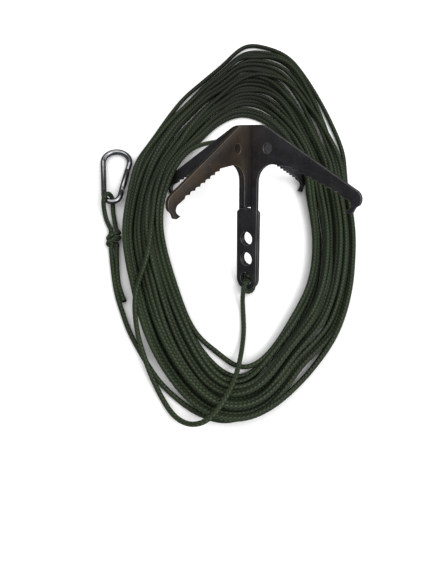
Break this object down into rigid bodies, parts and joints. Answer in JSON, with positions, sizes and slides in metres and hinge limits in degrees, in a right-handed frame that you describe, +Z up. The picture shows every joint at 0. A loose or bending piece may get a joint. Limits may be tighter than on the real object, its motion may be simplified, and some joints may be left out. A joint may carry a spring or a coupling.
{
  "type": "grapnel anchor",
  "caption": "Four-arm toothed steel grapnel anchor of two bent plates, with a coiled braided line ending in a spring-gate snap hook.",
  "frame": {"origin": "middle of the anchor's footprint, on the floor that it rests on", "axes": "+Z up from the floor; +Y from the tang end towards the head; +X across, level with the floor, towards the pair of arms on the right"},
  "size_m": [0.2865, 0.4815, 0.1383],
  "materials": {
    "plate_steel": "dark heat-tinted scale",
    "rope": "dark olive braid",
    "zinc_steel": "bright zinc plate",
    "spring_steel": "plain"
  },
  "bodies": {
    "anchor": {"claw_plate_front": "plate_steel", "claw_plate_back": "plate_steel", "rope_coil": "rope", "line_to_anchor": "rope", "line_to_knot": "rope", "loop_knot": "rope", "hook_loop": "rope", "rope_tail": "rope", "hook_body": "zinc_steel"},
    "gate": {"hook_gate": "zinc_steel", "gate_rivet": "zinc_steel", "gate_plunger": "spring_steel", "gate_spring": "spring_steel"}
  },
  "joints": [
    {"name": "gate_hinge", "type": "hinge", "parent": "anchor", "child": "gate", "pos_m": [-0.13128, 0.0587, 0.00694], "axis": [0.0069, 0.0747, 0.9972], "range_deg": [0, 35], "stiffness_Nm_per_rad": 0.02, "springref_deg": -20.05}
  ]
}
